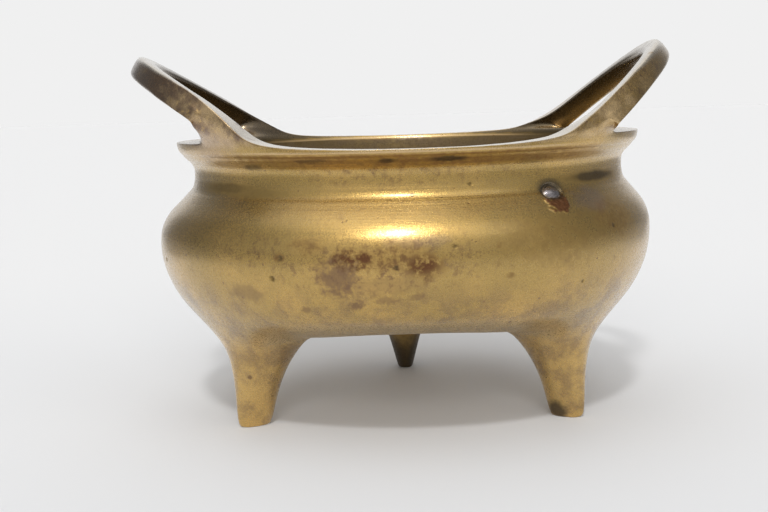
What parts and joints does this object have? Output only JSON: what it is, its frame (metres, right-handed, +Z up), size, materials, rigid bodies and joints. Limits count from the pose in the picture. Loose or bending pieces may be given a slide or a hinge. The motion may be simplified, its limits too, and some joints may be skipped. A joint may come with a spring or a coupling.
{
  "type": "tripod censer",
  "caption": "Squat cast bowl with a flared rim, a low collar, leaning loop handles rising from the rim and short tapering feet.",
  "frame": {"origin": "on the floor, on the bowl's axis, midway between the soles of the feet", "axes": "+Z up along the bowl's axis, +X towards the taller handle, +Y towards the back foot"},
  "size_m": [0.1303, 0.1198, 0.0882],
  "materials": {
    "old_brass": "satin, worn golden olive, with brown patina and fine casting pits"
  },
  "bodies": {
    "root": {"censer": "old_brass"}
  },
  "joints": []
}
